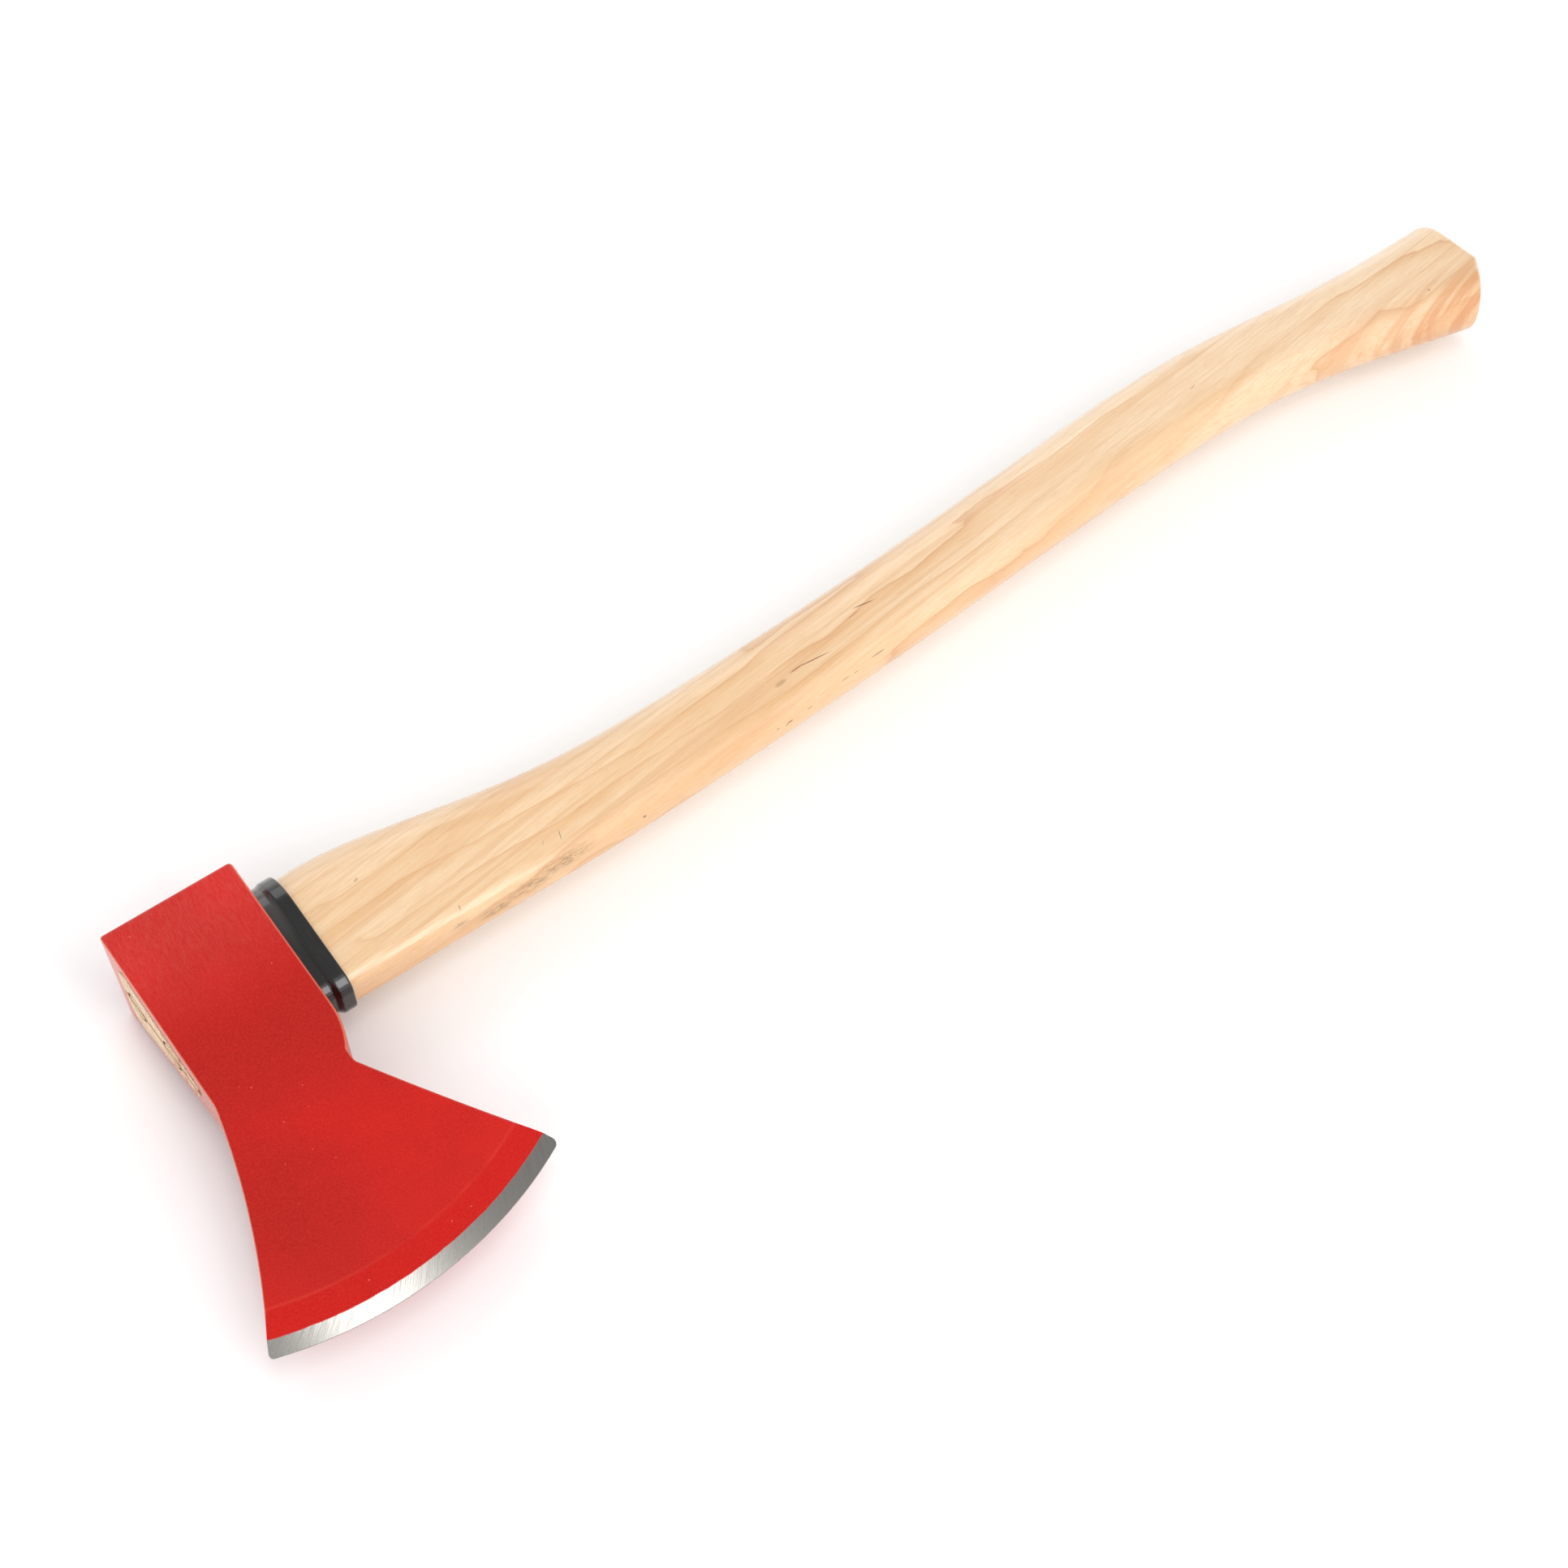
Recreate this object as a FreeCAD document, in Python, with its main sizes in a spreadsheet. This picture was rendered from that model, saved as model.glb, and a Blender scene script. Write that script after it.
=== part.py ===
import FreeCAD, Part
import math
import os
import Sketcher
from FreeCAD import Vector

# A felling and splitting axe with a wedge-shaped forged head on a curved wooden handle.
# Working frame, in millimetres: X runs along the handle from the top face of the head
# (x = 0) to the knob, +Y points to the poll and -Y to the bit, and the plane z = 0
# halves the axe's thickness. The finished axe is then moved so that it lies on its side
# with the frame's origin at the middle of the underside of its bounding box.

# An edge nearer than this to a place named in a test below is the edge that is meant.
NEARNESS = 0.5

doc = FreeCAD.newDocument("axe")
sheet = doc.addObject("Spreadsheet::Sheet", "sheet")

SIZES = {
    # head, side view
    "poll_face": 37.6,           # y of the flat striking face
    "eye_height": 48.0,          # x of the underside of the eye section
    "flare_start": -31.5,        # y where the top edge starts to sweep up to the toe
    "flare_radius": 300.0,
    "toe_x": -28.5,
    "toe_y": -109.8,
    "bit_radius": 130.0,
    "heel_x": 79.0,
    "heel_y": -102.8,
    "beard_x": 43.3,             # where the beard leaves the notch behind the lug
    "beard_y": -42.8,
    "lug_start": -22.0,          # y where the lug behind the eye starts to round off
    "lug_radius": 31.8,
    "lug_end_x": 43.2,
    "lug_end_y": -38.8,
    # head, thickness
    "poll_thickness": 45.0,
    "wedge_end": -20.0,          # y where the straight wedge turns into hollow cheeks
    "wedge_end_thickness": 22.2,
    "cheek_radius": 390.0,
    "blade_start": -95.0,        # y where the cheeks become the thin blade
    "blade_thickness": 6.2,
    "blade_end_thickness": 5.6,
    "edge_thickness": 0.4,
    "bevel_width": 5.3,
    "bevel_thickness": 4.5,
    "shoulder_width": 14.5,      # second, flatter bevel above the ground one
    "shoulder_thickness": 6.1,
    "poll_rounding": 1.4,
    "edge_rounding": 0.8,
    "lug_rounding": 1.6,
    "flare_rounding": 22.0,      # where the top edge turns up to the toe
    "notch_rounding": 3.0,       # between the lug and the beard
    "toe_rounding": 1.5,
    "heel_rounding": 2.0,
    # eye, which narrows towards the handle
    "eye_back": 29.5,
    "eye_front": -20.0,
    "eye_back_width": 30.6,
    "eye_front_width": 8.6,
    "eye_front_radius": 4.4,     # a little over half the front's width
    "eye_corner": 6.0,
    "eye_draft": 0.92,           # size at the underside as a share of the size on top
    # handle
    "wood_proud": 0.3,           # how far the sawn end stands out of the head
    "handle_end": 601.5,
    "end_facet_x": 589.5,
    "end_facet_y": -21.0,
    "end_corner_y": -6.0,
    "end_rounding": 2.5,
    # wooden wedge and steel ring wedges
    "wedge_depth": 33.0,
    "wedge_top": 2.6,
    "wedge_tip": 0.8,
    "ring_diameter": 11.4,
    "ring_bore": 9.0,
    "ring_depth": 13.0,
    "ring_recess": 0.3,
    "ring_back": 21.5,
    "ring_front": -1.5,
    # collar: a neck under the head that flares out to a band
    "neck_end": 51.2,            # x where the neck starts to flare
    "band_start": 52.9,
    "band_rounding": 0.7,
    "cove_rounding": 1.0,        # between the neck and the flare
    # how far cutting outlines run past the wood or steel, and the angle the bit's grind sweeps
    "margin": 20.0,
    "grind_sweep": 60.0,
    # frame
    "frame_x": 0.0,
    "frame_y": 0.0,
    "frame_z": 0.0,
}

# Sections across the grip: distance along the handle, offset to the poll side, width,
# greatest thickness, thickness at the front and radius of the front corners.
GRIP = {
    "collar_end": (57.5, 8.3, 51.2, 30.2, 16.0, 5.0),
    "swell": (80.0, 7.8, 51.2, 30.0, 16.0, 5.0),
    "taper": (112.0, 4.6, 45.5, 29.0, 16.4, 5.2),
    "upper_throat": (152.0, 0.6, 39.4, 27.6, 17.2, 6.4),
    "throat": (212.0, 0.4, 36.8, 26.0, 19.0, 8.2),
    "middle": (300.0, 4.5, 36.2, 25.0, 21.0, 9.8),
    "belly": (390.0, 11.3, 37.2, 24.4, 21.8, 10.4),
    "crest": (458.0, 14.8, 38.0, 24.0, 22.0, 10.6),
    "waist": (508.0, 12.5, 37.0, 24.6, 23.2, 11.2),
    "flare": (552.0, 6.6, 41.4, 26.4, 25.6, 12.4),
    "knob": (588.0, 2.3, 49.6, 27.8, 27.2, 13.2),
    "knob_end": (610.0, -0.3, 55.0, 28.4, 27.8, 13.5),
}
# Sections inside and over the collar, with the same values after the first.
COLLAR = {
    "seat": (8.6, 49.0, 27.6, 13.8, 4.0),
    "neck": (9.0, 52.8, 31.6, 17.4, 5.8),
    "band": (8.6, 54.8, 33.6, 19.2, 6.6),
}
MEASURES = ("x", "offset", "width", "thickness", "front", "corner")
for station, values in [*GRIP.items(), *COLLAR.items()]:
    for key, value in zip(MEASURES[-len(values):], values):
        SIZES[f"{station}_{key}"] = value

for row, (alias, value) in enumerate(SIZES.items(), start=1):
    sheet.set(f"A{row}", alias)
    sheet.set(f"B{row}", str(value))
    sheet.setAlias(f"B{row}", alias)
doc.recompute()


def size(expression):
    """The value of an expression in the sheet's dimensions."""
    return float(sheet.evalExpression(expression))


def new_body(label):
    """A body that follows the frame's offset."""
    body = doc.addObject("PartDesign::Body", label)
    body.Label = label
    for axis in "xyz":
        body.setExpression(f".Placement.Base.{axis}", f"sheet.frame_{axis}")
    return body


def new_sketch(body, name, role, offset="0"):
    """A sketch on one of the body's origin planes, moved along the plane's normal."""
    plane = next(f for f in body.Origin.OriginFeatures if f.Role == role)
    sketch = body.newObject("Sketcher::SketchObject", name)
    sketch.AttachmentSupport = [(plane, "")]
    sketch.MapMode = "FlatFace"
    sketch.setExpression(".AttachmentOffset.Base.z", offset)
    return sketch


def hold(sketch, kind, *where, expression):
    """Add a dimension to a sketch and drive it with an expression."""
    index = sketch.addConstraint(Sketcher.Constraint(kind, *where, size(expression)))
    sketch.setExpression(f"Constraints[{index}]", expression)


def pin(sketch, geometry, end, x, y):
    """Hold one end of a line or arc at a place given by two expressions."""
    for kind, axis, expression in (("DistanceX", -2, x), ("DistanceY", -1, y)):
        if abs(size(expression)) < 1e-9:
            sketch.addConstraint(Sketcher.Constraint("PointOnObject", geometry, end, axis))
        else:
            hold(sketch, kind, -1, 1, geometry, end, expression=expression)


def arc_centre(start, end, radius):
    """The centre of the arc between two points that bulges to the left of the way from
    start to end where the radius is positive and to the right where it is negative."""
    chord = end - start
    left = Vector(-chord.y, chord.x, 0) / chord.Length
    distance = math.sqrt(radius ** 2 - (chord.Length / 2) ** 2)
    return (start + end) / 2 - left * math.copysign(distance, radius)


def closed_outline(sketch, corners, arcs=None):
    """A closed outline through corners given as pairs of expressions. arcs maps the number
    of a side to the expression of its signed radius; the other sides are straight."""
    arcs = arcs or {}
    points = [Vector(size(x), size(y), 0) for x, y in corners]
    for side, start in enumerate(points):
        after = (side + 1) % len(points)
        end = points[after]
        ends = (side, after)
        if side in arcs:
            radius = size(arcs[side])
            centre = arc_centre(start, end, radius)
            circle = Part.Circle(centre, Vector(0, 0, 1), abs(radius))
            if radius > 0:
                ends = (after, side)
            angles = [math.atan2(*(points[i] - centre)[1::-1]) for i in ends]
            geometry = sketch.addGeometry(Part.ArcOfCircle(circle, *angles))
            hold(sketch, "Radius", geometry, expression=f"abs({arcs[side]})")
        else:
            geometry = sketch.addGeometry(Part.LineSegment(start, end))
        for number, corner in enumerate(ends, start=1):
            pin(sketch, geometry, number, *corners[corner])


def cut_all(body, name, sketch):
    """A pocket through the whole body, to both sides of its sketch."""
    pocket = body.newObject("PartDesign::Pocket", name)
    pocket.Profile = sketch
    pocket.Type = "ThroughAll"
    pocket.SideType = "Symmetric"
    return pocket


def prism(body, name, sketch, length, midplane=False):
    """A pad whose length is an expression."""
    pad = body.newObject("PartDesign::Pad", name)
    pad.Profile = sketch
    pad.setExpression("Length", length)
    if midplane:
        pad.SideType = "Symmetric"
    return pad


def loft(body, kind, name, sketches, ruled=False):
    """A loft of the given PartDesign kind through sketches in order."""
    feature = body.newObject(f"PartDesign::{kind}", name)
    feature.Profile = sketches[0]
    feature.Sections = sketches[1:]
    feature.Ruled = ruled
    return feature


def egg(body, name, x, station):
    """A section across the handle: a round back, flat flanks that close in towards the
    front, and a flat front between two rounded corners."""
    sketch = new_sketch(body, name, "YZ_Plane", x)
    back = f"(sheet.{station}_offset + sheet.{station}_width / 2)"
    front = f"(sheet.{station}_offset - sheet.{station}_width / 2)"
    radius = f"(sheet.{station}_thickness / 2)"
    corner = f"sheet.{station}_corner"
    flat = f"(sheet.{station}_front / 2 - {corner})"
    # Each flank touches the back's circle and a corner's; sine and cosine of its slope.
    run = f"(sheet.{station}_width - {radius} - {corner})"
    distance = f"sqrt({run}^2 + {flat}^2)"
    sink = f"(({radius} - {corner}) / {distance})"
    level = f"sqrt(1 - {sink}^2)"
    sine = f"(({sink} * {run} - {level} * {flat}) / {distance})"
    cosine = f"(({level} * {run} + {sink} * {flat}) / {distance})"
    upper = [
        (f"{back} - {radius} * (1 + {sine})", f"{radius} * {cosine}"),
        (f"{front} + {corner} * (1 - {sine})", f"({flat} + {corner} * {cosine})"),
        (front, flat),
    ]
    lower = [(y, f"-{z}") for y, z in reversed(upper)]
    arcs = {1: f"-{corner}", 3: f"-{corner}", 5: f"-{radius}", 6: f"-{radius}"}
    closed_outline(sketch, [*upper, *lower, (back, "0")], arcs)
    return sketch


def eye_section(body, name, x, scale):
    """The eye's outline at one height: a blunt back, straight flanks and a narrow front."""
    sketch = new_sketch(body, name, "YZ_Plane", x)
    back = f"sheet.eye_back * {scale}"
    front = f"sheet.eye_front * {scale}"
    radius = f"sheet.eye_corner * {scale}"
    wide = f"sheet.eye_back_width / 2 * {scale}"
    narrow = f"sheet.eye_front_width / 2 * {scale}"
    nose = f"sheet.eye_front_radius * {scale}"
    corners = [
        (f"{back} - {radius}", wide),
        (f"{front} + {narrow}", narrow),
        (f"{front} + {narrow}", f"-{narrow}"),
        (f"{back} - {radius}", f"-{wide}"),
        (back, f"-({wide} - {radius})"),
        (back, f"{wide} - {radius}"),
    ]
    closed_outline(sketch, corners, {1: f"-{nose}", 3: f"-{radius}", 5: f"-{radius}"})
    return sketch


def eye_sections(body):
    return [
        eye_section(body, "eye_top", "-sheet.wood_proud", "1"),
        eye_section(body, "eye_bottom", "sheet.eye_height", "sheet.eye_draft"),
    ]


def ring_pockets(body):
    """The two round slots that the ring wedges are driven into."""
    sketch = new_sketch(body, "ring_slots", "YZ_Plane", "-sheet.wood_proud")
    for place in ("sheet.ring_back", "sheet.ring_front"):
        for diameter in ("sheet.ring_diameter", "sheet.ring_bore"):
            centre = Vector(size(place), 0, 0)
            index = sketch.addGeometry(Part.Circle(centre, Vector(0, 0, 1), size(diameter) / 2))
            pin(sketch, index, 3, place, "0")
            hold(sketch, "Diameter", index, expression=diameter)
    pocket = body.newObject("PartDesign::Pocket", "ring_pockets")
    pocket.Profile = sketch
    pocket.setExpression("Length", "sheet.ring_recess + sheet.ring_depth")
    pocket.Reversed = True
    return pocket


def round_edges(body, name, radius, chosen):
    """Fillet the edges of the body's last feature that the test picks."""
    doc.recompute()
    tip = body.Tip
    edges = [
        f"Edge{number}"
        for number, edge in enumerate(tip.Shape.Edges, start=1)
        if chosen(edge)
    ]
    fillet = body.newObject("PartDesign::Fillet", name)
    fillet.Base = (tip, edges)
    fillet.setExpression("Radius", radius)


def round_corner(body, name, x, y, radius):
    """Round a corner of the side view, given by two expressions."""
    corner = Vector(size(x), size(y), 0)
    round_edges(
        body,
        name,
        radius,
        lambda edge: (edge.CenterOfMass - corner).Length < NEARNESS,
    )


def head_blank(body):
    """The head's side view at its full thickness, with its inner corners rounded."""
    side = new_sketch(body, "side_view", "XY_Plane")
    closed_outline(
        side,
        [
            ("0", "sheet.poll_face"),
            ("0", "sheet.flare_start"),
            ("sheet.toe_x", "sheet.toe_y"),
            ("sheet.heel_x", "sheet.heel_y"),
            ("sheet.beard_x", "sheet.beard_y"),
            ("sheet.lug_end_x", "sheet.lug_end_y"),
            ("sheet.eye_height", "sheet.lug_start"),
            ("sheet.eye_height", "sheet.poll_face"),
        ],
        {1: "sheet.flare_radius", 2: "-sheet.bit_radius", 5: "-sheet.lug_radius"},
    )
    prism(body, "blank", side, "sheet.poll_thickness", midplane=True)
    round_corner(body, "flare_root", "0", "sheet.flare_start", "sheet.flare_rounding")
    round_corner(body, "notch", "sheet.beard_x", "sheet.beard_y", "sheet.notch_rounding")


def hollow_cheeks(body):
    """Thin the blank: a straight wedge from the poll, then hollow cheeks, then the blade."""
    plan = new_sketch(body, "plan_view", "YZ_Plane")
    beyond_poll = "sheet.poll_face + sheet.margin"
    beyond_bit = "sheet.toe_y - sheet.margin"
    slope = (
        "((sheet.poll_thickness - sheet.wedge_end_thickness)"
        " / (sheet.poll_face - sheet.wedge_end) / 2)"
    )
    for sign in ("", "-"):
        closed_outline(
            plan,
            [
                (beyond_poll, f"{sign}(sheet.poll_thickness / 2 + sheet.margin * {slope})"),
                ("sheet.wedge_end", f"{sign}sheet.wedge_end_thickness / 2"),
                ("sheet.blade_start", f"{sign}sheet.blade_thickness / 2"),
                (beyond_bit, f"{sign}sheet.blade_end_thickness / 2"),
                (beyond_bit, f"{sign}sheet.poll_thickness"),
                (beyond_poll, f"{sign}sheet.poll_thickness"),
            ],
            {1: f"{sign}sheet.cheek_radius"},
        )
    cut_all(body, "cheeks", plan)


def on_cheek_outline(edge):
    """Whether an edge runs round a cheek, between the poll face and the blade."""
    return (
        abs(edge.CenterOfMass.z) > size("sheet.blade_thickness / 4")
        and edge.CenterOfMass.y < size("sheet.poll_face") - NEARNESS
        and edge.BoundBox.YMax > size("sheet.blade_start")
    )


def on_lug(edge):
    """Whether an edge is one of the lug's."""
    middle = edge.CenterOfMass
    return (
        on_cheek_outline(edge)
        and middle.x > size("sheet.lug_end_x") + NEARNESS
        and size("sheet.lug_end_y") < middle.y < size("sheet.lug_start")
    )


def grind_bit(body):
    """Grind the bit's two bevels by turning their profile about the bit curve's centre."""
    toe = Vector(size("sheet.toe_x"), size("sheet.toe_y"), 0)
    heel = Vector(size("sheet.heel_x"), size("sheet.heel_y"), 0)
    centre = arc_centre(toe, heel, size("-sheet.bit_radius"))
    profile = new_sketch(body, "grind_profile", "YZ_Plane", f"{centre.x}")
    edge = f"({centre.y} - sheet.bit_radius)"
    for sign in ("", "-"):
        closed_outline(
            profile,
            [
                (f"{edge} - sheet.margin", f"{sign}sheet.edge_thickness / 2"),
                (edge, f"{sign}sheet.edge_thickness / 2"),
                (f"{edge} + sheet.bevel_width", f"{sign}sheet.bevel_thickness / 2"),
                (f"{edge} + sheet.shoulder_width", f"{sign}sheet.shoulder_thickness / 2"),
                (f"{edge} + sheet.shoulder_width", f"{sign}sheet.poll_thickness / 2"),
                (f"{edge} - sheet.margin", f"{sign}sheet.poll_thickness / 2"),
            ],
        )
    axis = Part.LineSegment(Vector(centre.y, -1, 0), Vector(centre.y, 1, 0))
    profile.addGeometry(axis, True)
    groove = body.newObject("PartDesign::Groove", "grind")
    groove.Profile = profile
    groove.ReferenceAxis = (profile, ["Axis0"])
    groove.setExpression("Angle", "sheet.grind_sweep")
    groove.Midplane = True


def make_head():
    body = new_body("axe_head")
    head_blank(body)
    hollow_cheeks(body)
    round_edges(body, "lug_edges", "sheet.lug_rounding", on_lug)
    round_corner(body, "toe", "sheet.toe_x", "sheet.toe_y", "sheet.toe_rounding")
    round_corner(body, "heel", "sheet.heel_x", "sheet.heel_y", "sheet.heel_rounding")
    round_edges(
        body,
        "long_edges",
        "sheet.edge_rounding",
        lambda edge: on_cheek_outline(edge) and not on_lug(edge),
    )
    grind_bit(body)
    round_edges(
        body,
        "poll_edges",
        "sheet.poll_rounding",
        lambda edge: edge.BoundBox.YMin > size("sheet.poll_face") - NEARNESS,
    )
    loft(body, "SubtractiveLoft", "eye", eye_sections(body), ruled=True)
    return body


def grip_sections(body):
    return [
        egg(body, f"section_{station}", f"sheet.{station}_x", station)
        for station in GRIP
    ]


def make_handle():
    body = new_body("handle")
    loft(body, "AdditiveLoft", "tongue", eye_sections(body), ruled=True)
    seat = egg(body, "seat_section", "sheet.eye_height", "seat")
    prism(body, "collar_seat", seat, "sheet.collar_end_x - sheet.eye_height")
    loft(body, "AdditiveLoft", "grip", grip_sections(body))

    end = new_sketch(body, "end_cut_outline", "XY_Plane")
    closed_outline(
        end,
        [
            ("sheet.handle_end", "sheet.knob_end_width"),
            ("sheet.handle_end", "sheet.end_corner_y"),
            (
                "sheet.end_facet_x - (sheet.handle_end - sheet.end_facet_x)",
                "sheet.end_facet_y - (sheet.end_corner_y - sheet.end_facet_y)",
            ),
            ("sheet.knob_end_x + sheet.margin", "-sheet.knob_end_width"),
            ("sheet.knob_end_x + sheet.margin", "sheet.knob_end_width"),
        ],
    )
    cut_all(body, "end_cut", end)
    end_start = size("sheet.end_facet_x - (sheet.handle_end - sheet.end_facet_x)")
    round_edges(
        body,
        "end_edges",
        "sheet.end_rounding",
        lambda edge: edge.BoundBox.XMin > end_start,
    )

    kerf = new_sketch(body, "kerf_outline", "XZ_Plane")
    closed_outline(kerf, wedge_corners())
    cut_all(body, "kerf", kerf)
    ring_pockets(body)
    return body


def wedge_corners():
    """The wedge seen along Y; the sketch's own x is the frame's X and its y is Z."""
    return [
        ("-sheet.wood_proud", "sheet.wedge_top / 2"),
        ("-sheet.wood_proud", "-sheet.wedge_top / 2"),
        ("sheet.wedge_depth", "-sheet.wedge_tip / 2"),
        ("sheet.wedge_depth", "sheet.wedge_tip / 2"),
    ]


def make_wooden_wedge():
    body = new_body("wooden_wedge")
    loft(body, "AdditiveLoft", "eye_filler", eye_sections(body), ruled=True)
    outside = new_sketch(body, "outside_outline", "XZ_Plane")
    (top_x, top_z), _, _, (tip_x, tip_z) = wedge_corners()
    for sign in ("", "-"):
        closed_outline(
            outside,
            [
                (top_x, f"{sign}{top_z}"),
                (tip_x, f"{sign}{tip_z}"),
                (tip_x, f"{sign}sheet.poll_thickness"),
                (top_x, f"{sign}sheet.poll_thickness"),
            ],
        )
    closed_outline(
        outside,
        [
            (tip_x, "-sheet.poll_thickness"),
            ("sheet.eye_height + sheet.margin", "-sheet.poll_thickness"),
            ("sheet.eye_height + sheet.margin", "sheet.poll_thickness"),
            (tip_x, "sheet.poll_thickness"),
        ],
    )
    cut_all(body, "wedge_sides", outside)
    ring_pockets(body)
    return body


def make_ring_wedges():
    rings = []
    for name in ("ring_back", "ring_front"):
        outer = doc.addObject("Part::Cylinder", f"{name}_outer")
        inner = doc.addObject("Part::Cylinder", f"{name}_bore")
        for cylinder, diameter in ((outer, "ring_diameter"), (inner, "ring_bore")):
            cylinder.setExpression("Radius", f"sheet.{diameter} / 2")
            cylinder.setExpression("Height", "sheet.ring_depth")
            cylinder.Placement.Rotation = FreeCAD.Rotation(Vector(0, 1, 0), 90)
            cylinder.setExpression(
                ".Placement.Base.x", "sheet.ring_recess - sheet.wood_proud"
            )
            cylinder.setExpression(".Placement.Base.y", f"sheet.{name}")
        ring = doc.addObject("Part::Cut", name)
        ring.Base = outer
        ring.Tool = inner
        rings.append(ring)
    pair = doc.addObject("Part::Compound", "ring_wedges")
    pair.Label = "ring_wedges"
    pair.Links = rings
    for axis in "xyz":
        pair.setExpression(f".Placement.Base.{axis}", f"sheet.frame_{axis}")
    return pair


def around(edge, x):
    """Whether an edge runs round the handle at a distance along it."""
    return abs(edge.BoundBox.XMin - x) < NEARNESS and abs(edge.BoundBox.XMax - x) < NEARNESS


def make_collar():
    body = new_body("collar")
    neck = egg(body, "neck_section", "sheet.eye_height", "neck")
    flare = egg(body, "flare_section", "sheet.neck_end", "neck")
    band = egg(body, "band_section", "sheet.band_start", "band")
    prism(body, "neck", neck, "sheet.neck_end - sheet.eye_height")
    loft(body, "AdditiveLoft", "flare", [flare, band], ruled=True)
    prism(body, "band", band, "sheet.collar_end_x - sheet.band_start")
    for name, x, radius in (
        ("cove", "sheet.neck_end", "sheet.cove_rounding"),
        ("band_front", "sheet.band_start", "sheet.band_rounding"),
        ("band_back", "sheet.collar_end_x", "sheet.band_rounding"),
    ):
        place = size(x)
        round_edges(body, name, radius, lambda edge: around(edge, place))
    bore = egg(body, "bore_section", "sheet.eye_height", "seat")
    cut_all(body, "bore", bore)
    return body


def check(objects):
    """Stop if a feature failed or a piece isn't one or more sound solids."""
    for item in doc.Objects:
        if "Invalid" in item.State or "Error" in item.State:
            raise RuntimeError(f"{item.Name} failed: {item.State}")
    for item in objects:
        if item.Shape.isNull() or not item.Shape.isValid() or not item.Shape.Solids:
            raise RuntimeError(f"{item.Label} has no sound solid")


parts = [
    make_head(),
    make_handle(),
    make_wooden_wedge(),
    make_ring_wedges(),
    make_collar(),
]
doc.recompute()
check(parts)

# Put the origin at the middle of the underside of the whole axe.
box = FreeCAD.BoundBox()
for part in parts:
    box.add(part.Shape.optimalBoundingBox(False))
for alias, value in (
    ("frame_x", -box.Center.x),
    ("frame_y", -box.Center.y),
    ("frame_z", -box.ZMin),
):
    sheet.set(sheet.getCellFromAlias(alias), f"{value:.3f}")
doc.recompute()
check(parts)

os.makedirs("parts", exist_ok=True)
for part in parts:
    part.Shape.exportStep(f"parts/{part.Label}.step")
    print(part.Label, len(part.Shape.Solids), "solid(s)", round(part.Shape.Volume / 1000, 2), "cm3")
print("box", box)
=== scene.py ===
import math
import random

import bpy
from mathutils import Matrix, Vector


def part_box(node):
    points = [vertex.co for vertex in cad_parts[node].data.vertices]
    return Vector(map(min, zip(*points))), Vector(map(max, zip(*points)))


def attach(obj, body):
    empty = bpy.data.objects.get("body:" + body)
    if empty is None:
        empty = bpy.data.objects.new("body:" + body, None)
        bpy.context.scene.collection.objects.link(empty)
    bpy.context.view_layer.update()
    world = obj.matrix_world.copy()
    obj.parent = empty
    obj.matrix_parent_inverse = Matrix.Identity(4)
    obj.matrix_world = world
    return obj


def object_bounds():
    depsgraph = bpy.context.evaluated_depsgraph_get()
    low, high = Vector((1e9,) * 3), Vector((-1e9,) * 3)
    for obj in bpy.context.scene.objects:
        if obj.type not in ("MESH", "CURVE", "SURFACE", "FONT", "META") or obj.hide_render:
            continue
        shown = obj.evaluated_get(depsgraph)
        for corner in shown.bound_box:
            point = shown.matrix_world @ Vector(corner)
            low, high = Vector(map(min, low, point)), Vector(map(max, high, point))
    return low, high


# A splitting axe lying on its side. Metres; +X runs from the head to the knob, +Y to the
# poll, -Y to the bit and +Z up, square to the cheeks.
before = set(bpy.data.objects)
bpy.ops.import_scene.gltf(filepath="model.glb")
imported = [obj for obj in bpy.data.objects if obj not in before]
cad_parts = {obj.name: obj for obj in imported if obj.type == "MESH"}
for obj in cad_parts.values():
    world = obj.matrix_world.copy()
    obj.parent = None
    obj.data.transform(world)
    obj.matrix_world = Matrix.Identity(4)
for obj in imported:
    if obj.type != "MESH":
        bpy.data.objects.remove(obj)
cad_low, cad_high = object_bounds()

MM = 0.001
WOOD_PROUD = 0.3 * MM                                # how far the sawn end stands out
HEAD_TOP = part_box("wooden_wedge")[0].x + WOOD_PROUD  # x of the head's top end
HEAD_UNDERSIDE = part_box("collar")[0].x
POLL_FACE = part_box("axe_head")[1].y
MIDPLANE = cad_high.z / 2

# The arc of the cutting edge, which the paint follows, and what lies behind it.
BIT_RADIUS = 130 * MM
BIT_MIDDLE = 17.56 * MM                              # from the head's top to the arc's middle
BIT_CENTRE = Vector(
    (HEAD_TOP + BIT_MIDDLE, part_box("axe_head")[0].y + BIT_RADIUS, MIDPLANE)
)
BEVEL_WIDTH = 5.3 * MM                               # ground bare
SHOULDER_WIDTH = 14.5 * MM                           # where the blade's flat starts

# The eye's half width at its front, and how much wider it is at its back.
EYE_FRONT = 4.4 * MM
EYE_WIDENING = 10.6 * MM

SPLINTER_COUNT = 90
SPLINTER_STEPS = 4

# Brown stains along the front of the handle: x, z, length and width in millimetres.
STAINS = (
    (-147, 26, 34, 10),
    (-161, 24, 30, 10),
    (-174, 22, 24, 9),
    (-188, 25, 10, 5),
)

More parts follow.
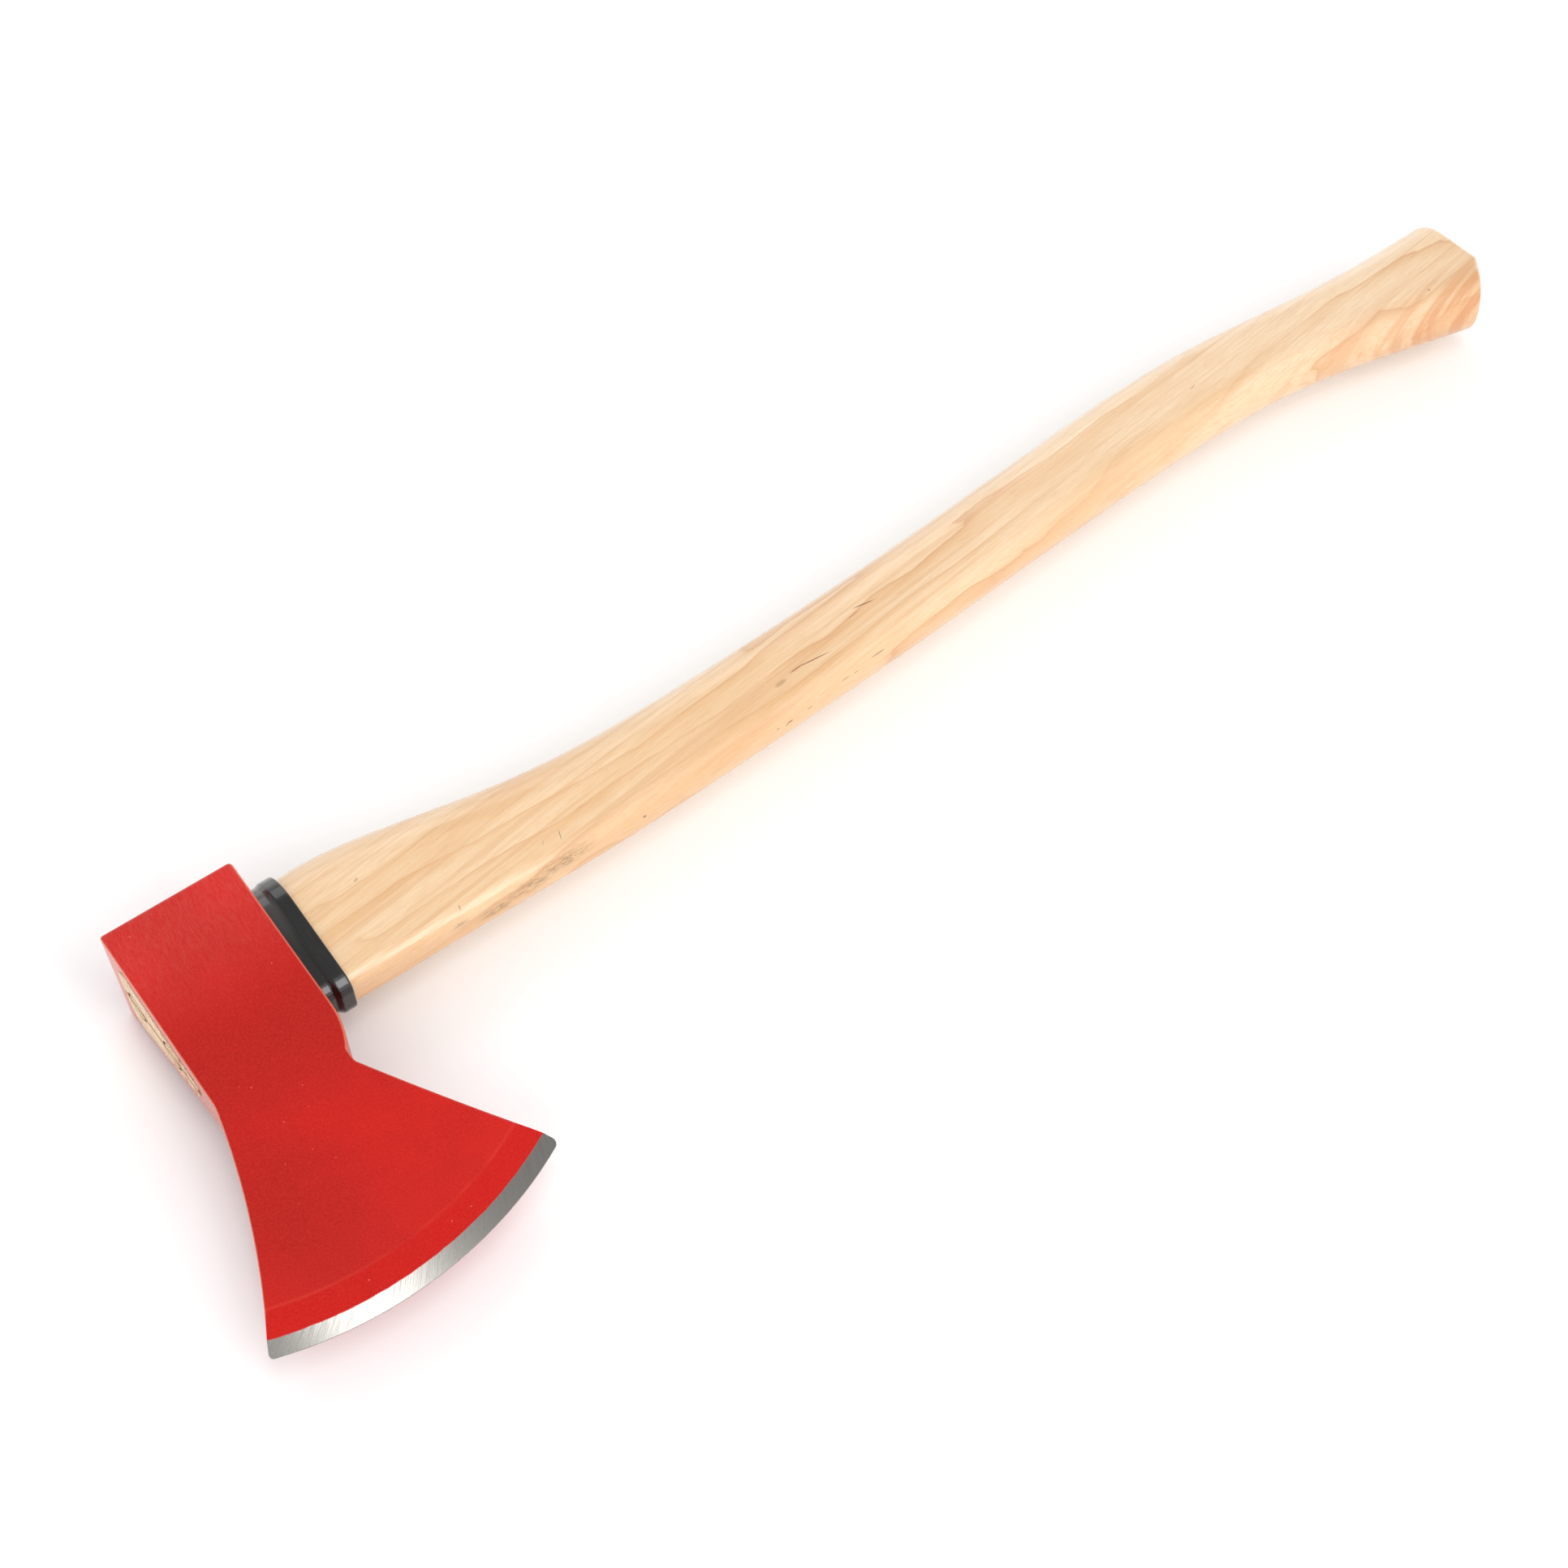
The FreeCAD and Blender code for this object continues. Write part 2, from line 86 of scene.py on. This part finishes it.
# Knots, drying cracks and pits: place and size in millimetres, turn in degrees, strength.
CRACKS = (
    ((-208.5, 51.7, 36.0), (2.8, 1.0, 6), 20, 0.4),
    ((-143.6, 28.4, 31.2), (5.0, 0.45, 6), 70, 0.6),
    ((-150.0, 29.0, 31.0), (3.0, 0.4, 6), 60, 0.3),
    ((-186.0, 25.2, 29.8), (2.6, 0.6, 6), 75, 0.6),
    ((-114.1, 21.3, 24.3), (1.8, 2, 1.0), 10, 1.0),
    ((-30.0, 35.0, 32.7), (18.0, 0.55, 6), -5, 0.9),
    ((-37.0, 35.4, 32.8), (9.0, 0.8, 6), 4, 0.7),
    ((-45.5, 33.7, 32.5), (7.0, 2.2, 6), 5, 0.35),
    ((-49.3, 23.4, 24.0), (3.6, 2, 0.9), 5, 0.9),
    ((-50.8, 23.4, 23.4), (1.6, 2, 0.6), 5, 0.9),
    ((-54.9, 23.2, 24.4), (1.8, 2, 0.5), 5, 0.9),
    ((-40.2, 23.8, 24.4), (3.4, 2, 0.6), 10, 0.7),
    ((-22.9, 25.2, 26.3), (5.0, 2, 0.5), 5, 0.6),
    ((-17.9, 25.4, 26.1), (3.0, 2, 0.4), 5, 0.6),
    ((-6.9, 26.5, 27.3), (9.0, 2, 0.7), 6, 0.6),
    ((0.0, 43.5, 34.0), (12.0, 0.6, 6), -8, 0.9),
    ((-6.0, 42.0, 34.0), (9.0, 0.45, 6), 6, 0.5),
    ((172.0, 51.8, 33.6), (5.0, 0.35, 6), 15, 0.8),
    ((284.4, 32.6, 35.3), (2.0, 1.4, 6), 10, 0.4),
)

# Soft boxes: name, place, target, width, height, watts.
LIGHTS = (
    ("overhead", (-0.18, -0.7, 2.3), (-0.18, -0.7, 0), 0.46, 0.8, 8),
    ("front", (0.12, -1.4, 1.35), (-0.1, 0, 0), 0.4, 1.5, 11),
    ("front_left", (-1.5, -1.1, 1.3), (-0.1, 0, 0), 1.5, 1.0, 8),
    ("front_right", (1.3, -1.3, 1.4), (0.1, 0, 0), 1.5, 1.0, 5),
    ("back", (0.5, 1.5, 1.5), (0.1, 0, 0), 1.8, 1.0, 8),
)

# The room's brightness by height, from the horizon up, and its strength.
SKY = (
    (0.2, 1.0),
    (0.5, 0.36),
)
SKY_STRENGTH = 1.55

FLOOR_SIZE = 30
FLOOR_GAP = 0.5 * MM                                 # between the floor and the axe

CAMERA_PLACE = Vector((-0.3679, -0.3861, 0.6699))
CAMERA_TARGET = Vector((-0.0672, 0.0041, 0.0222))
CAMERA_ROLL = math.radians(-0.47)
LENS = 54.04


def linear(red, green, blue):
    """A colour given as 0 to 255 on a screen, as the shader's own numbers."""
    def decode(value):
        value /= 255
        return value / 12.92 if value <= 0.04045 else ((value + 0.055) / 1.055) ** 2.4
    return (decode(red), decode(green), decode(blue), 1)


class Surface:
    """A Principled material whose nodes are made by short calls. A value passed in is a
    number, a colour or another node's output."""

    def __init__(self, name, **inputs):
        self.material = bpy.data.materials.new(name)
        self.material.use_nodes = True
        self.tree = self.material.node_tree
        self.shader = self.tree.nodes["Principled BSDF"]
        coordinates = self.add("TexCoord")
        self.place = coordinates.outputs["Object"]
        self.facing = coordinates.outputs["Normal"]
        self.set(**inputs)

    def set(self, **inputs):
        for name, value in inputs.items():
            self.feed(self.shader.inputs[name.replace("_", " ")], value)

    def feed(self, socket, value):
        if isinstance(value, bpy.types.NodeSocket):
            self.tree.links.new(value, socket)
        else:
            socket.default_value = value

    def add(self, kind, *values, **settings):
        """A node of one kind, with its first inputs fed in order; None leaves one as it is."""
        node = self.tree.nodes.new("ShaderNode" + kind)
        for name, value in settings.items():
            setattr(node, name, value)
        for socket, value in zip(node.inputs, values):
            if value is not None:
                self.feed(socket, value)
        return node

    def math(self, operation, *values):
        return self.add("Math", *values, operation=operation).outputs[0]

    def scaled(self, vector, scale, turn=0.0):
        """Coordinates turned about Z and then scaled per axis."""
        turned = self.add("Mapping", vector, None, (0, 0, turn)).outputs[0]
        return self.add("Mapping", turned, None, None, scale).outputs[0]

    def noise(self, vector, scale, detail, roughness=0.5):
        node = self.add("TexNoise")
        for name, value in (
            ("Vector", vector),
            ("Scale", scale),
            ("Detail", detail),
            ("Roughness", roughness),
        ):
            self.feed(node.inputs[name], value)
        return node.outputs[0]

    def cells(self, vector, scale):
        node = self.add("TexVoronoi")
        self.feed(node.inputs["Vector"], vector)
        self.feed(node.inputs["Scale"], scale)
        return node.outputs["Distance"]

    def span(self, value, low, high, to_low=0.0, to_high=1.0):
        """The value brought smoothly from one range to another and held inside it."""
        limits = (low, high, to_low, to_high)
        return self.add("MapRange", value, *limits, interpolation_type="SMOOTHSTEP").outputs[0]

    def ramp(self, value, stops):
        """A colour that goes through stops, given as pairs of a place and a colour."""
        node = self.add("ValToRGB", value)
        elements = node.color_ramp.elements
        while len(elements) < len(stops):
            elements.new(0.5)
        for element, (position, colour) in zip(elements, stops):
            element.position = position
            element.color = colour
        return node.outputs[0]

    def mix(self, factor, first, second, blend="MIX"):
        """A colour between two colours."""
        node = self.add("Mix", data_type="RGBA", blend_type=blend)
        self.feed(node.inputs["Factor"], factor)
        self.feed(node.inputs[6], first)
        self.feed(node.inputs[7], second)
        return node.outputs[2]

    def bump(self, height, distance, strength):
        node = self.add("Bump")
        self.feed(node.inputs["Strength"], strength)
        self.feed(node.inputs["Distance"], distance)
        self.feed(node.inputs["Height"], height)
        return node.outputs[0]

    def axis(self, name):
        return self.add("SeparateXYZ", self.place).outputs["XYZ".index(name)]

    def blend(self, factor, first, second):
        """A number between two numbers."""
        return self.add("Mix", factor, None, first, second, data_type="FLOAT").outputs[0]

    def mark(self, place, size, turn=0.0, soft=0.4):
        """1 inside a small ellipsoid, given in millimetres, fading to 0 at its rim."""
        near = self.add("Mapping", self.place, vector_type="TEXTURE")
        self.feed(near.inputs["Location"], tuple(value * MM for value in place))
        self.feed(near.inputs["Rotation"], (0, 0, math.radians(turn)))
        self.feed(near.inputs["Scale"], tuple(value * MM / 2 for value in size))
        reach = self.add("VectorMath", near.outputs[0], operation="LENGTH").outputs["Value"]
        return self.span(reach, 1.0, soft, 0.0, 1.0)


def bit_place(s):
    """The way from the centre of the bit's arc, and the distance in from its edge."""
    offset = s.add("VectorMath", s.place, tuple(BIT_CENTRE), operation="SUBTRACT").outputs[0]
    flat = s.add("VectorMath", offset, (1, 1, 0), operation="MULTIPLY").outputs[0]
    reach = s.add("VectorMath", flat, operation="LENGTH").outputs["Value"]
    return offset, s.math("SUBTRACT", BIT_RADIUS, reach)


def bare_bevel(s, inward):
    """1 on the ground bevel and 0 on the paint, with a slightly ragged line between."""
    on_bit = s.span(s.axis("Y"), BIT_CENTRE.y - 60 * MM, BIT_CENTRE.y - 90 * MM)
    ragged = s.noise(s.place, 260, 3)
    ragged = s.math("MULTIPLY_ADD", ragged, 0.5 * MM, BEVEL_WIDTH - 0.4 * MM)
    bare = s.span(s.math("SUBTRACT", inward, ragged), 0.15 * MM, -0.15 * MM)
    return s.math("MULTIPLY", bare, on_bit)


def paint_with_shade_and_highlight(s, inward):
    """Cloudy red paint, thicker in some places and thinner in others, with painted shade on the
    cheeks and a painted highlight along the shoulder line.
    """
    cloudy = s.noise(s.place, 28, 4, 0.6)
    paint = s.mix(s.span(cloudy, 0.3, 0.7), linear(180, 20, 14), linear(196, 23, 17))
    # painted shade darkens the cheeks beside the front of the eye, and the top edge from
    # there to the toe
    beside_eye = s.math("ABSOLUTE", s.math("SUBTRACT", s.axis("Y"), 18 * MM))
    shade = s.math("MULTIPLY", s.span(beside_eye, 48 * MM, 0), 0.8)
    top_edge_shade = s.math("MULTIPLY", s.mark((-289, -30, 26), (84, 130, 60), soft=0.0), 0.75)
    paint = s.mix(s.math("MAXIMUM", shade, top_edge_shade), paint, linear(158, 20, 14))
    # and a cleaner red on the strip just behind the bevel, up to a faint painted highlight along the
    # shoulder line
    behind_bevel = s.span(inward, SHOULDER_WIDTH, SHOULDER_WIDTH - 1 * MM)
    paint = s.mix(s.math("MULTIPLY", behind_bevel, 0.5), paint, linear(188, 10, 6))
    beside_line = s.math("ABSOLUTE", s.math("SUBTRACT", inward, SHOULDER_WIDTH))
    shoulder_highlight = s.math("MULTIPLY", s.span(beside_line, 0.9 * MM, 0), s.span(cloudy, 0.4, 0.6))
    return s.mix(s.math("MULTIPLY", shoulder_highlight, 0.15), paint, linear(232, 92, 70))


def worn_paint_and_highlights(s, paint, mottle):
    """The paint with mottling and small chips, with a painted highlight on the rounded edges and a
    painted reflection that makes the end round the eye paler.
    """
    paint = s.mix(s.span(mottle, 0.35, 0.75, 0, 0.4), paint, linear(212, 44, 30))
    specks = s.cells(s.place, 210)
    speck = s.math("MULTIPLY", s.span(specks, 0.07, 0.03), s.span(s.noise(s.place, 60, 2), 0.45, 0.6))
    paint = s.mix(s.math("MULTIPLY", speck, 0.55), paint, linear(240, 130, 110))
    # a painted highlight along the rounded edges, and a painted reflection that makes the end round
    # the eye paler
    facing = s.add("SeparateXYZ", s.facing)
    steep = s.math("ABSOLUTE", facing.outputs["Z"])
    edge_highlight = s.math("MULTIPLY", s.span(steep, 0.9, 0.75), s.span(steep, 0.1, 0.3))
    paint = s.mix(s.math("MULTIPLY", edge_highlight, 0.4), paint, linear(236, 138, 104))
    end_reflection = s.math("MULTIPLY", s.span(facing.outputs["X"], -0.8, -0.97), 0.4)
    return s.mix(end_reflection, paint, linear(228, 176, 164))


def brush_strokes(s, offset, inward):
    """The height of strokes brushed aslant to the edge."""
    around = s.add("TexGradient", offset, gradient_type="RADIAL").outputs[1]
    slant = s.math("MULTIPLY_ADD", inward, -4200, s.math("MULTIPLY", around, 3800))
    strokes = s.add("CombineXYZ", slant, s.math("MULTIPLY", inward, 130))
    return s.noise(strokes.outputs[0], 1, 4, 0.65)


def head_material():
    """Red paint over a ground and forged head, with the bit's bevel ground bare."""
    s = Surface("head_paint", Specular_IOR_Level=0.2, Coat_Roughness=0.16)
    offset, inward = bit_place(s)
    bare = bare_bevel(s, inward)
    mottle = s.noise(s.place, 1500, 3, 0.75)
    paint = worn_paint_and_highlights(s, paint_with_shade_and_highlight(s, inward), mottle)
    brushed = brush_strokes(s, offset, inward)
    steel = s.mix(s.span(brushed, 0.3, 0.7), linear(128, 125, 119), linear(160, 158, 154))

    # fine grinding lines under the paint, strongest near the poll, with a painted sheen that pales
    # the paint along them near the poll
    along = s.noise(s.scaled(s.place, (2600, 260, 260), math.radians(6)), 1, 4, 0.7)
    near_poll = s.span(s.axis("Y"), POLL_FACE - 50 * MM, POLL_FACE - 8 * MM)
    sheen = s.math("MULTIPLY", near_poll, s.span(along, 0.35, 0.7, 0.03, 0.13))
    paint = s.mix(sheen, paint, linear(222, 142, 134))
    lines = s.math("MULTIPLY", along, s.math("MULTIPLY_ADD", near_poll, 0.9, 0.1))

    # the paint's fine skin and the forging's soft unevenness
    peel = s.noise(s.place, 700, 2)
    forged = s.noise(s.place, 55, 3)
    height = s.math("MULTIPLY_ADD", peel, 0.25, lines)
    height = s.math("MULTIPLY_ADD", forged, 3.0, height)
    normal = s.add("Mix", data_type="VECTOR")
    s.feed(normal.inputs["Factor"], bare)
    s.feed(normal.inputs[4], s.bump(height, 0.05 * MM, 0.5))
    s.feed(normal.inputs[5], s.bump(brushed, 0.01 * MM, 0.1))

    paint_roughness = s.span(mottle, 0.2, 0.8, 0.24, 0.32)
    steel_roughness = s.span(brushed, 0.3, 0.7, 0.3, 0.2)
    s.set(
        Base_Color=s.mix(bare, paint, steel),
        Metallic=bare,
        Coat_Weight=s.span(bare, 0, 1, 0.12, 0.0),
        Roughness=s.blend(bare, paint_roughness, steel_roughness),
        Normal=normal.outputs[1],
    )
    return s.material


def grain(s, light, middle, dark, line):
    """Growth bands drawn out along the handle, with fibres and pores. Each band is pale at
    its front and darkens to a thin line at its back. Gives the colour, and the height of
    the fibres."""
    board = s.add("Mapping", s.place, None, (0, 0, math.radians(-7))).outputs[0]
    waves = s.noise(s.scaled(board, (5, 30, 26)), 1, 3, 0.5)
    ripple = s.noise(s.scaled(board, (40, 240, 160)), 1, 3, 0.55)
    parts = s.add("SeparateXYZ", board)
    bands = s.math("MULTIPLY", parts.outputs["Y"], 72)
    bands = s.math("MULTIPLY_ADD", parts.outputs["Z"], 60, bands)
    bands = s.math("MULTIPLY_ADD", waves, 4.2, bands)
    bands = s.math("MULTIPLY_ADD", ripple, 0.22, bands)
    phase = s.math("FRACT", bands)
    ring = s.ramp(
        phase,
        [
            (0.0, middle),
            (0.04, light),
            (0.5, light),
            (0.84, middle),
            (0.95, dark),
            (0.985, line),
        ],
    )
    broad = s.noise(s.scaled(board, (6, 55, 40)), 1, 4, 0.55)
    base = s.mix(s.span(broad, 0.38, 0.62), light, middle)
    strong = s.noise(s.scaled(board, (7, 24, 24)), 1, 2, 0.5)
    colour = s.mix(s.span(strong, 0.36, 0.68, 0.16, 0.66), base, ring)
    lines = s.noise(s.scaled(board, (6, 430, 110)), 1, 2, 0.5)
    colour = s.mix(s.span(lines, 0.52, 0.68, 0.0, 0.42), colour, dark)
    fibre = s.noise(s.scaled(board, (60, 1300, 1300)), 1, 5, 0.8)
    colour = s.mix(s.span(fibre, 0.4, 0.72, 0.0, 0.5), colour, dark)
    blotches = s.noise(s.scaled(board, (45, 90, 90)), 1, 3, 0.6)
    colour = s.mix(s.span(blotches, 0.5, 0.75, 0.0, 0.35), colour, middle)
    pores = s.cells(s.scaled(board, (150, 2300, 2300)), 1)
    pore = s.math("MULTIPLY", s.span(pores, 0.24, 0.1), s.span(phase, 0.55, 0.95))
    colour = s.mix(s.math("MULTIPLY", pore, 0.4), colour, line)
    height = s.math("MULTIPLY_ADD", pore, -1.0, fibre)
    return colour, height


def heartwood(s, colour):
    """The wood's colour with tan heartwood towards the lower corner of the knob."""
    knob = s.span(s.axis("X"), 160 * MM, 290 * MM)
    low = s.span(s.axis("Y"), 50 * MM, 20 * MM)
    streaks = s.noise(s.scaled(s.place, (7, 330, 50), math.radians(-12)), 1, 3)
    heart = s.math("MULTIPLY", s.math("MULTIPLY", knob, low), s.span(streaks, 0.4, 0.6, 0.25, 1))
    return s.mix(s.math("MULTIPLY", heart, 0.85), colour, linear(204, 142, 88))


def stained(s, colour):
    """The wood's colour with the speckled stains along the front."""
    speckle = s.noise(s.scaled(s.place, (260, 1900, 900)), 1, 4, 0.75)
    stains = 0.0
    for x, z, length, width in STAINS:
        stain = s.mark((x, 21.5, z), (length, 10, width), soft=0.0)
        stains = s.math("MAXIMUM", stain, stains)
    stains = s.math("MULTIPLY", stains, s.span(speckle, 0.4, 0.6, 0.15, 0.95))
    return s.mix(stains, colour, linear(146, 112, 70))


def crack_depth(s):
    """How deep each place is in a knot, crack or pit."""
    depth = 0.0
    for place, extent, turn, strength in CRACKS:
        spot = s.mark(place, extent, turn)
        depth = s.math("MAXIMUM", s.math("MULTIPLY", spot, strength), depth)
    return depth


def end_grain(s):
    """Bare sawn wood with smears of paint towards its front."""
    saw_lines = s.noise(s.scaled(s.place, (1, 1500, 150)), 1, 3, 0.6)
    colour = s.mix(s.span(saw_lines, 0.3, 0.7), linear(206, 172, 134), linear(232, 214, 190))
    smears = s.noise(s.place, 330, 4, 0.7)
    front = s.span(s.axis("Y"), 46 * MM, 24 * MM)
    smear = s.math("MULTIPLY", s.span(smears, 0.5, 0.6), front)
    return s.mix(s.math("MULTIPLY", smear, 0.8), colour, linear(160, 50, 42))


def handle_material():
    """Lacquered hickory with knots, cracks, pits and stains, bare where it is sawn off."""
    s = Surface("handle_wood", Coat_Roughness=0.17)
    colour, height = grain(
        s,
        light=linear(230, 200, 162),
        middle=linear(219, 177, 130),
        dark=linear(208, 158, 110),
        line=linear(194, 138, 92),
    )
    # paler sapwood on the outer half of the handle
    outer = s.span(s.axis("X"), -70 * MM, 60 * MM)
    colour = s.mix(outer, colour, (1.04, 1.08, 1.15, 1), "MULTIPLY")
    colour = heartwood(s, colour)
    # painted shade darkens and browns the front
    front_shade = s.span(s.add("SeparateXYZ", s.facing).outputs["Y"], -0.3, -0.9)
    colour = s.mix(front_shade, colour, (0.95, 0.89, 0.82, 1), "MULTIPLY")
    cracks = crack_depth(s)
    colour = s.mix(cracks, stained(s, colour), linear(122, 62, 26))
    sawn = s.span(s.axis("X"), HEAD_TOP + 0.5 * MM, HEAD_TOP)
    colour = s.mix(sawn, colour, end_grain(s))

    waviness = s.noise(s.scaled(s.place, (22, 60, 60)), 1, 2)
    height = s.math("MULTIPLY_ADD", waviness, 14.0, height)
    height = s.math("MULTIPLY_ADD", cracks, -6.0, height)
    lacquered_roughness = s.span(height, 5, 9, 0.36, 0.46)
    sawn_roughness = s.math("MULTIPLY", sawn, 0.85)
    s.set(
        Base_Color=colour,
        Roughness=s.math("MAXIMUM", lacquered_roughness, sawn_roughness),
        Normal=s.bump(height, 0.03 * MM, 0.55),
        Coat_Weight=s.span(sawn, 0, 1, 0.85, 0.0),
    )
    return s.material


def wedge_material():
    """The bare end of the wooden wedge, darker than the handle round it."""
    s = Surface("wedge_wood")
    lines = s.noise(s.scaled(s.place, (200, 130, 2200)), 1, 3, 0.7)
    colour = s.mix(s.span(lines, 0.3, 0.7), linear(150, 100, 56), linear(196, 148, 96))
    s.set(Base_Color=colour, Roughness=0.8, Normal=s.bump(lines, 0.1 * MM, 0.6))
    return s.material


def ring_material():
    """Dark dull steel of the ring wedges, hammered on the end."""
    s = Surface("ring_steel", Metallic=1.0)
    dents = s.noise(s.place, 900, 3, 0.6)
    rust = s.span(s.noise(s.place, 420, 4, 0.7), 0.5, 0.68)
    steel = s.mix(s.span(dents, 0.3, 0.7), linear(44, 44, 46), linear(76, 76, 78))
    s.set(
        Base_Color=s.mix(s.math("MULTIPLY", rust, 0.5), steel, linear(104, 74, 52)),
        Roughness=s.span(dents, 0.3, 0.7, 0.38, 0.62),
        Normal=s.bump(dents, 0.15 * MM, 0.6),
    )
    return s.material


def collar_material():
    """Glossy black moulded plastic with fine scuffs, and a painted grey reflection on its neck by the
    poll.
    """
    s = Surface("collar_plastic", Specular_IOR_Level=0.45, Coat_Weight=0.5, Coat_Roughness=0.07)
    flow = s.noise(s.place, 90, 3, 0.5)
    scuffs = s.noise(s.scaled(s.place, (900, 120, 120)), 1, 4, 0.7)
    dust = s.math("MULTIPLY", s.span(s.cells(s.place, 900), 0.12, 0.04), s.span(flow, 0.5, 0.6))
    black = s.mix(s.span(scuffs, 0.5, 0.8, 0, 0.5), linear(10, 9, 8), linear(28, 26, 24))
    on_neck = s.span(s.axis("X"), HEAD_UNDERSIDE + 5 * MM, HEAD_UNDERSIDE + 3.5 * MM)
    # a painted grey reflection on the neck by the poll
    neck_reflection = s.math("MULTIPLY", on_neck, s.span(s.axis("Y"), 36 * MM, 66 * MM))
    black = s.mix(s.math("MULTIPLY", neck_reflection, 0.8), black, linear(66, 66, 65))
    s.set(
        Base_Color=s.mix(s.math("MULTIPLY", dust, 0.5), black, linear(120, 118, 112)),
        Roughness=s.span(scuffs, 0.3, 0.8, 0.2, 0.34),
        Normal=s.bump(flow, 0.12 * MM, 0.4),
    )
    return s.material


def floor_material():
    """Plain white paper."""
    return Surface("floor_paper", Base_Color=(0.96, 0.96, 0.96, 1), Roughness=0.9).material


def dress(node, material):
    """Give a CAD node its material in every slot."""
    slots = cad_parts[node].material_slots
    for slot in slots:
        slot.material = material


def new_mesh(name, vertices, faces, material):
    """A mesh object in the scene."""
    mesh = bpy.data.meshes.new(name)
    mesh.from_pydata(vertices, [], faces)
    mesh.validate()
    mesh.materials.append(material)
    piece = bpy.data.objects.new(name, mesh)
    bpy.context.scene.collection.objects.link(piece)
    return piece


def splinters(material):
    """Torn fibres that the saw left round the sawn end, as thin curled slivers."""
    rng = random.Random(11)
    low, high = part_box("wooden_wedge")
    vertices = []
    faces = []
    for _ in range(SPLINTER_COUNT):
        y = rng.uniform(low.y + 2 * MM, high.y - 4 * MM)
        reach = (y - low.y) / (high.y - low.y)
        half_width = EYE_FRONT + EYE_WIDENING * reach
        side = -1 if rng.random() < 0.75 else 1
        z = MIDPLANE + side * half_width * rng.uniform(0.86, 1.0)
        length = rng.uniform(0.8, 2.6) * MM
        width = rng.uniform(0.12, 0.3) * MM
        lift = rng.uniform(0.1, 0.5) * MM
        heading = rng.gauss(0, 0.5)
        ahead = Vector((0, math.cos(heading), math.sin(heading)))
        across = Vector((0, -ahead.z, ahead.y)) * width
        start = Vector((HEAD_TOP - WOOD_PROUD + 0.05 * MM, y, z))
        base = len(vertices)
        for step in range(SPLINTER_STEPS + 1):
            share = step / SPLINTER_STEPS
            spine = start + ahead * length * share - Vector((lift * share ** 2, 0, 0))
            thin = across * (1 - 0.8 * share)
            ridge = Vector((-0.1 * MM * (1 - share), 0, 0))
            vertices += [spine - thin, spine + ridge, spine + thin]
        for step in range(SPLINTER_STEPS):
            for lane in (0, 1):
                a = base + step * 3 + lane
                faces.append((a, a + 1, a + 4, a + 3))
    piece = new_mesh("end_splinters", vertices, faces, material)
    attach(piece, "root")


def floor():
    """A pale floor just under the axe."""
    bpy.ops.mesh.primitive_plane_add(size=FLOOR_SIZE, location=(0, 0, -FLOOR_GAP))
    plane = bpy.context.object
    plane.name = "floor"
    plane.data.materials.append(floor_material())


def softbox(name, place, target, width, height, power):
    """An area light aimed at a point."""
    data = bpy.data.lights.new(name, "AREA")
    data.shape = "RECTANGLE"
    data.size = width
    data.size_y = height
    data.energy = power
    light = bpy.data.objects.new(name, data)
    light.location = place
    light.rotation_mode = "QUATERNION"
    light.rotation_quaternion = (Vector(target) - Vector(place)).to_track_quat("-Z", "Y")
    bpy.context.scene.collection.objects.link(light)


def studio():
    """Soft light from five boxes and from a pale room that is darker above."""
    world = bpy.data.worlds.new("studio")
    bpy.context.scene.world = world
    world.use_nodes = True
    tree = world.node_tree
    background = tree.nodes["Background"]
    direction = tree.nodes.new("ShaderNodeTexCoord")
    split = tree.nodes.new("ShaderNodeSeparateXYZ")
    ramp = tree.nodes.new("ShaderNodeValToRGB")
    tree.links.new(direction.outputs["Generated"], split.inputs[0])
    tree.links.new(split.outputs["Z"], ramp.inputs[0])
    tree.links.new(ramp.outputs[0], background.inputs["Color"])
    for stop, (height, shade) in zip(ramp.color_ramp.elements, SKY):
        stop.position = height
        stop.color = (shade, shade, shade, 1)
    background.inputs["Strength"].default_value = SKY_STRENGTH
    for light in LIGHTS:
        softbox(*light)


def camera():
    """The photograph's viewpoint."""
    data = bpy.data.cameras.new("camera")
    data.sensor_width = 36
    data.lens = LENS
    data.clip_start = 0.01
    data.clip_end = 100
    eye = bpy.data.objects.new("camera", data)
    eye.rotation_mode = "QUATERNION"
    aim = (CAMERA_TARGET - CAMERA_PLACE).to_track_quat("-Z", "Y")
    roll = Matrix.Rotation(CAMERA_ROLL, 3, "Z").to_quaternion()
    eye.location = CAMERA_PLACE
    eye.rotation_quaternion = aim @ roll
    bpy.context.scene.collection.objects.link(eye)
    bpy.context.scene.camera = eye


wood = handle_material()
dress("axe_head", head_material())
dress("handle", wood)
dress("wooden_wedge", wedge_material())
dress("ring_wedges", ring_material())
dress("collar", collar_material())
splinters(wood)
floor()
studio()
camera()
bpy.context.scene.view_settings.view_transform = "Standard"
